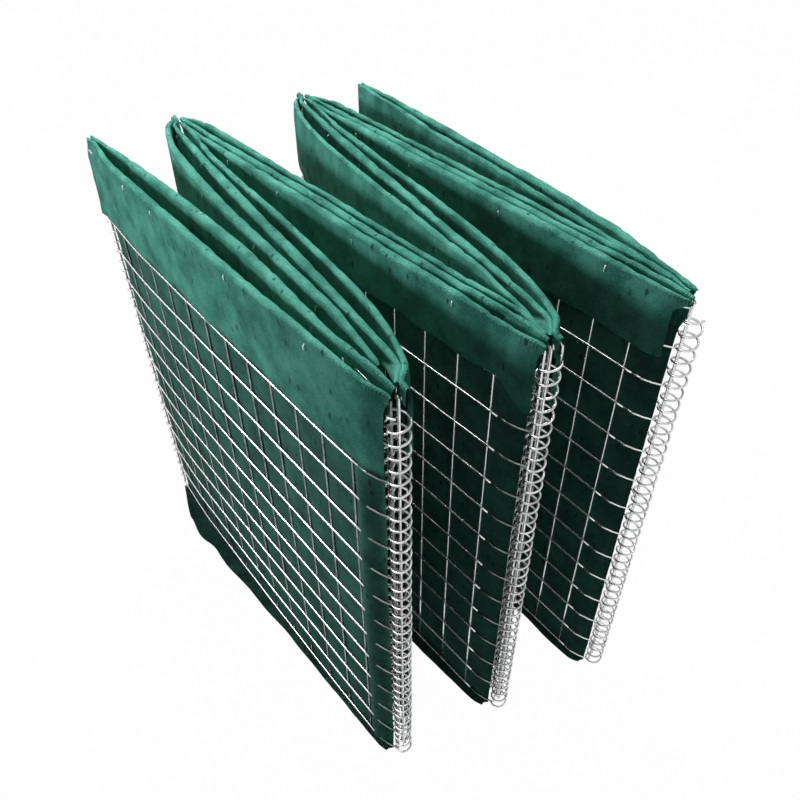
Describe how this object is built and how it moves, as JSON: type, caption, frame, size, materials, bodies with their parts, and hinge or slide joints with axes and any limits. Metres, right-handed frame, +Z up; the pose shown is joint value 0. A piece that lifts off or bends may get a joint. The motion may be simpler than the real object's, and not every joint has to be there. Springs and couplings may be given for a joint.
{
  "type": "concertina gabion wall unit",
  "caption": "Felt-lined welded-mesh gabion cells joined by helical coils, standing half folded; it draws out in bays and is filled to make a wall.",
  "frame": {"origin": "centre of the bounding box at floor level", "axes": "+X along the row of near fold tips, +Y from the near tips to the far tips, +Z up"},
  "size_m": [0.7744, 1.0599, 1.0272],
  "materials": {
    "mesh_wire": "galvanised",
    "coil_wire": "galvanised",
    "felt": "needle-punched felt"
  },
  "bodies": {
    "leaf_1": {"front_panel_1": "mesh_wire", "front_liner_1": "felt", "divider_panel_0": "mesh_wire", "divider_liner_0": "felt", "front_coil_0": "coil_wire", "back_coil_0": "coil_wire"},
    "leaf_2": {"back_panel_1": "mesh_wire", "back_liner_1": "felt", "divider_panel_1": "mesh_wire", "divider_liner_1": "felt", "front_panel_2": "mesh_wire", "front_liner_2": "felt", "front_coil_1": "coil_wire", "back_coil_1": "coil_wire"},
    "leaf_3": {"front_panel_3": "mesh_wire", "front_liner_3": "felt", "divider_panel_2": "mesh_wire", "divider_liner_2": "felt", "back_panel_2": "mesh_wire", "back_liner_2": "felt", "front_coil_2": "coil_wire", "back_coil_2": "coil_wire"},
    "leaf_4": {"back_panel_3": "mesh_wire", "back_liner_3": "felt", "divider_panel_3": "mesh_wire", "divider_liner_3": "felt", "front_panel_4": "mesh_wire", "front_liner_4": "felt", "front_coil_3": "coil_wire", "back_coil_3": "coil_wire"},
    "leaf_5": {"front_panel_5": "mesh_wire", "front_liner_5": "felt", "divider_panel_4": "mesh_wire", "divider_liner_4": "felt", "back_panel_4": "mesh_wire", "back_liner_4": "felt", "front_coil_4": "coil_wire", "back_coil_4": "coil_wire"},
    "leaf_6": {"back_panel_5": "mesh_wire", "back_liner_5": "felt", "divider_panel_5": "mesh_wire", "divider_liner_5": "felt", "front_coil_5": "coil_wire", "back_coil_5": "coil_wire"}
  },
  "joints": [
    {"name": "fold_2", "type": "hinge", "parent": "leaf_3", "child": "leaf_2", "pos_m": [-0.18024, 0.51005, 0.5], "axis": [0, 0, -1], "range_deg": [-3, 155]},
    {"name": "fold_1", "type": "hinge", "parent": "leaf_2", "child": "leaf_1", "pos_m": [-0.15025, -0.5005, 0.5], "axis": [0, 0, 1], "range_deg": [-2, 155]},
    {"name": "fold_3", "type": "hinge", "parent": "leaf_3", "child": "leaf_4", "pos_m": [0.08519, -0.50171, 0.5], "axis": [0, 0, -1], "range_deg": [-3, 155]},
    {"name": "fold_4", "type": "hinge", "parent": "leaf_4", "child": "leaf_5", "pos_m": [0.10284, 0.50914, 0.5], "axis": [0, 0, 1], "range_deg": [-3, 155]},
    {"name": "fold_5", "type": "hinge", "parent": "leaf_5", "child": "leaf_6", "pos_m": [0.33814, -0.51005, 0.5], "axis": [0, 0, -1], "range_deg": [-3, 155]}
  ]
}
